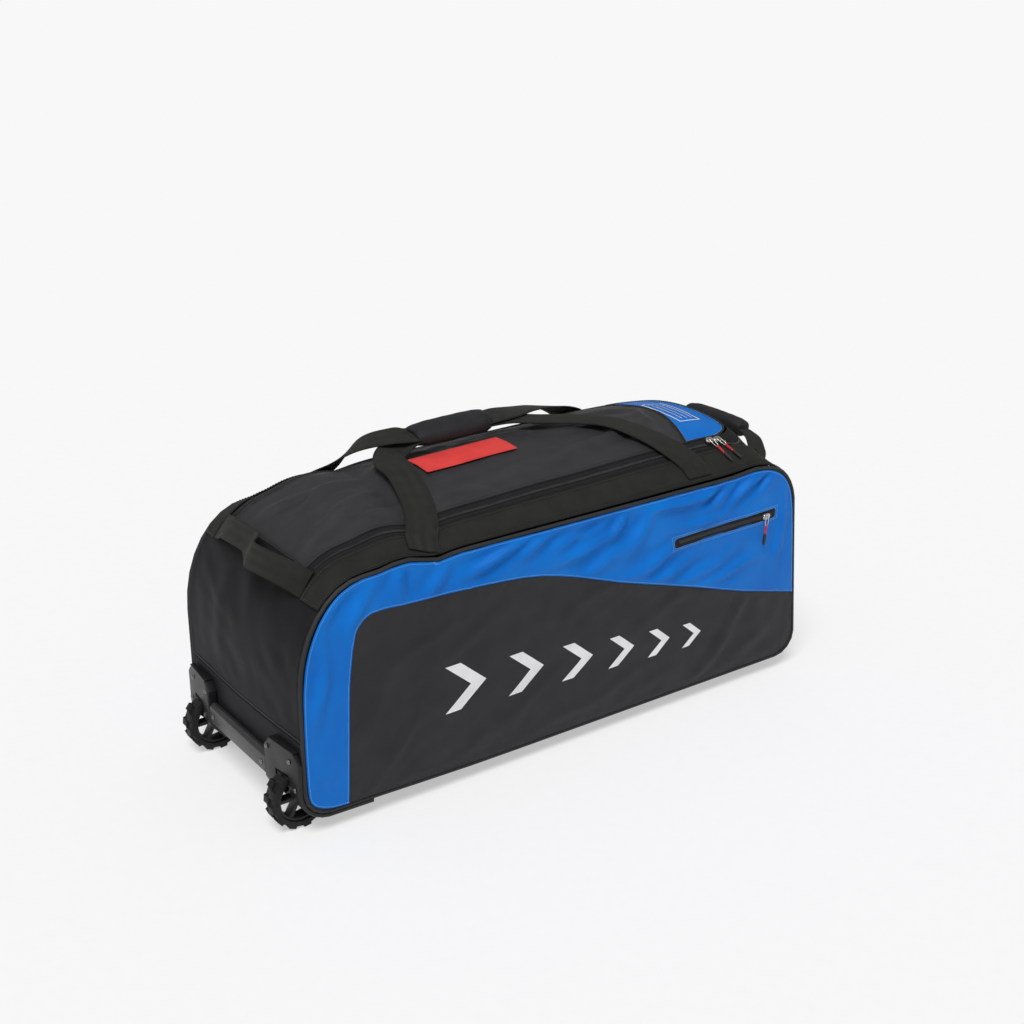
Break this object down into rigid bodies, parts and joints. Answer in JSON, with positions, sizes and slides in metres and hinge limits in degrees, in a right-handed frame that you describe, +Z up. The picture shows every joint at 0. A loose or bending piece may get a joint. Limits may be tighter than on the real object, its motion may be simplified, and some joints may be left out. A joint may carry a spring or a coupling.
{
  "type": "wheeled duffel bag",
  "caption": "Long soft duffel bag with a padded grip on paired carry straps, a zipped lid, piped side panels, grab handles at both ends and treaded wheels in moulded housings at one end.",
  "frame": {"origin": "on the floor, below the middle of the bag's length and width", "axes": "+X from the wheels to the far end, +Y from the front long side with the pocket to the back one, +Z up"},
  "size_m": [0.942, 0.3643, 0.4588],
  "materials": {
    "blue_cloth": "coated weave, satin",
    "black_cloth": "coated weave, matt",
    "end_cloth": "heavy weave, matt",
    "webbing": "ribbed webbing, matt",
    "piping": "bound cord, satin",
    "zip_tape": "coil zip on woven tape",
    "padding": "padded cloth, matt",
    "red_label": "flexible moulded badge",
    "red_cord": "braided cord",
    "moulding": "moulded, fine grain",
    "bar_plastic": "moulded, satin",
    "rubber": "treaded rubber",
    "pull_rubber": "moulded grip",
    "rim_plastic": "moulded, satin",
    "steel": "plated, polished"
  },
  "bodies": {
    "bag": {"side_panel_front_upper": "blue_cloth", "side_panel_back_upper": "blue_cloth", "lid_patch": "blue_cloth", "side_panel_front_lower": "black_cloth", "side_panel_back_lower": "black_cloth", "lid_panel": "black_cloth", "kick_panel": "end_cloth", "base_panel": "end_cloth", "end_panel_wheel": "end_cloth", "end_panel_far": "end_cloth", "top_band_front": "webbing", "top_band_back": "webbing", "top_band_far": "webbing", "carry_strap_front": "webbing", "carry_strap_back": "webbing", "grab_handle_wheel": "webbing", "grab_handle_far": "webbing", "piping_front": "piping", "piping_back": "piping", "kick_piping": "piping", "zip_tape": "zip_tape", "pocket_zip": "zip_tape", "grip_wrap": "padding", "grab_pad_far": "padding", "lid_label": "red_label", "wheel_housing_front": "moulding", "axle_front": "steel", "housing_rivet_front_1": "steel", "housing_rivet_front_2": "steel", "housing_rivet_front_3": "steel", "wheel_housing_back": "moulding", "axle_back": "steel", "housing_rivet_back_1": "steel", "housing_rivet_back_2": "steel", "housing_rivet_back_3": "steel", "guard_bar": "bar_plastic", "bar_rivet_1": "steel", "bar_rivet_2": "steel", "pocket_slider": "steel", "pocket_pull_tab": "steel", "pocket_pull_cord": "red_cord", "pocket_pull_end": "pull_rubber", "main_1_slider": "steel", "main_1_pull_tab": "steel", "main_1_pull_cord": "red_cord", "main_1_pull_end": "pull_rubber", "main_2_slider": "steel", "main_2_pull_tab": "steel", "main_2_pull_cord": "red_cord", "main_2_pull_end": "pull_rubber"},
    "wheel_front": {"tyre_front": "rubber", "rim_front": "rim_plastic"},
    "wheel_back": {"tyre_back": "rubber", "rim_back": "rim_plastic"}
  },
  "joints": [
    {"name": "wheel_front_spin", "type": "hinge", "parent": "bag", "child": "wheel_front", "pos_m": [-0.426, -0.13, 0.045], "axis": [0, 1, 0], "continuous": true},
    {"name": "wheel_back_spin", "type": "hinge", "parent": "bag", "child": "wheel_back", "pos_m": [-0.426, 0.13, 0.045], "axis": [0, 1, 0], "continuous": true}
  ]
}
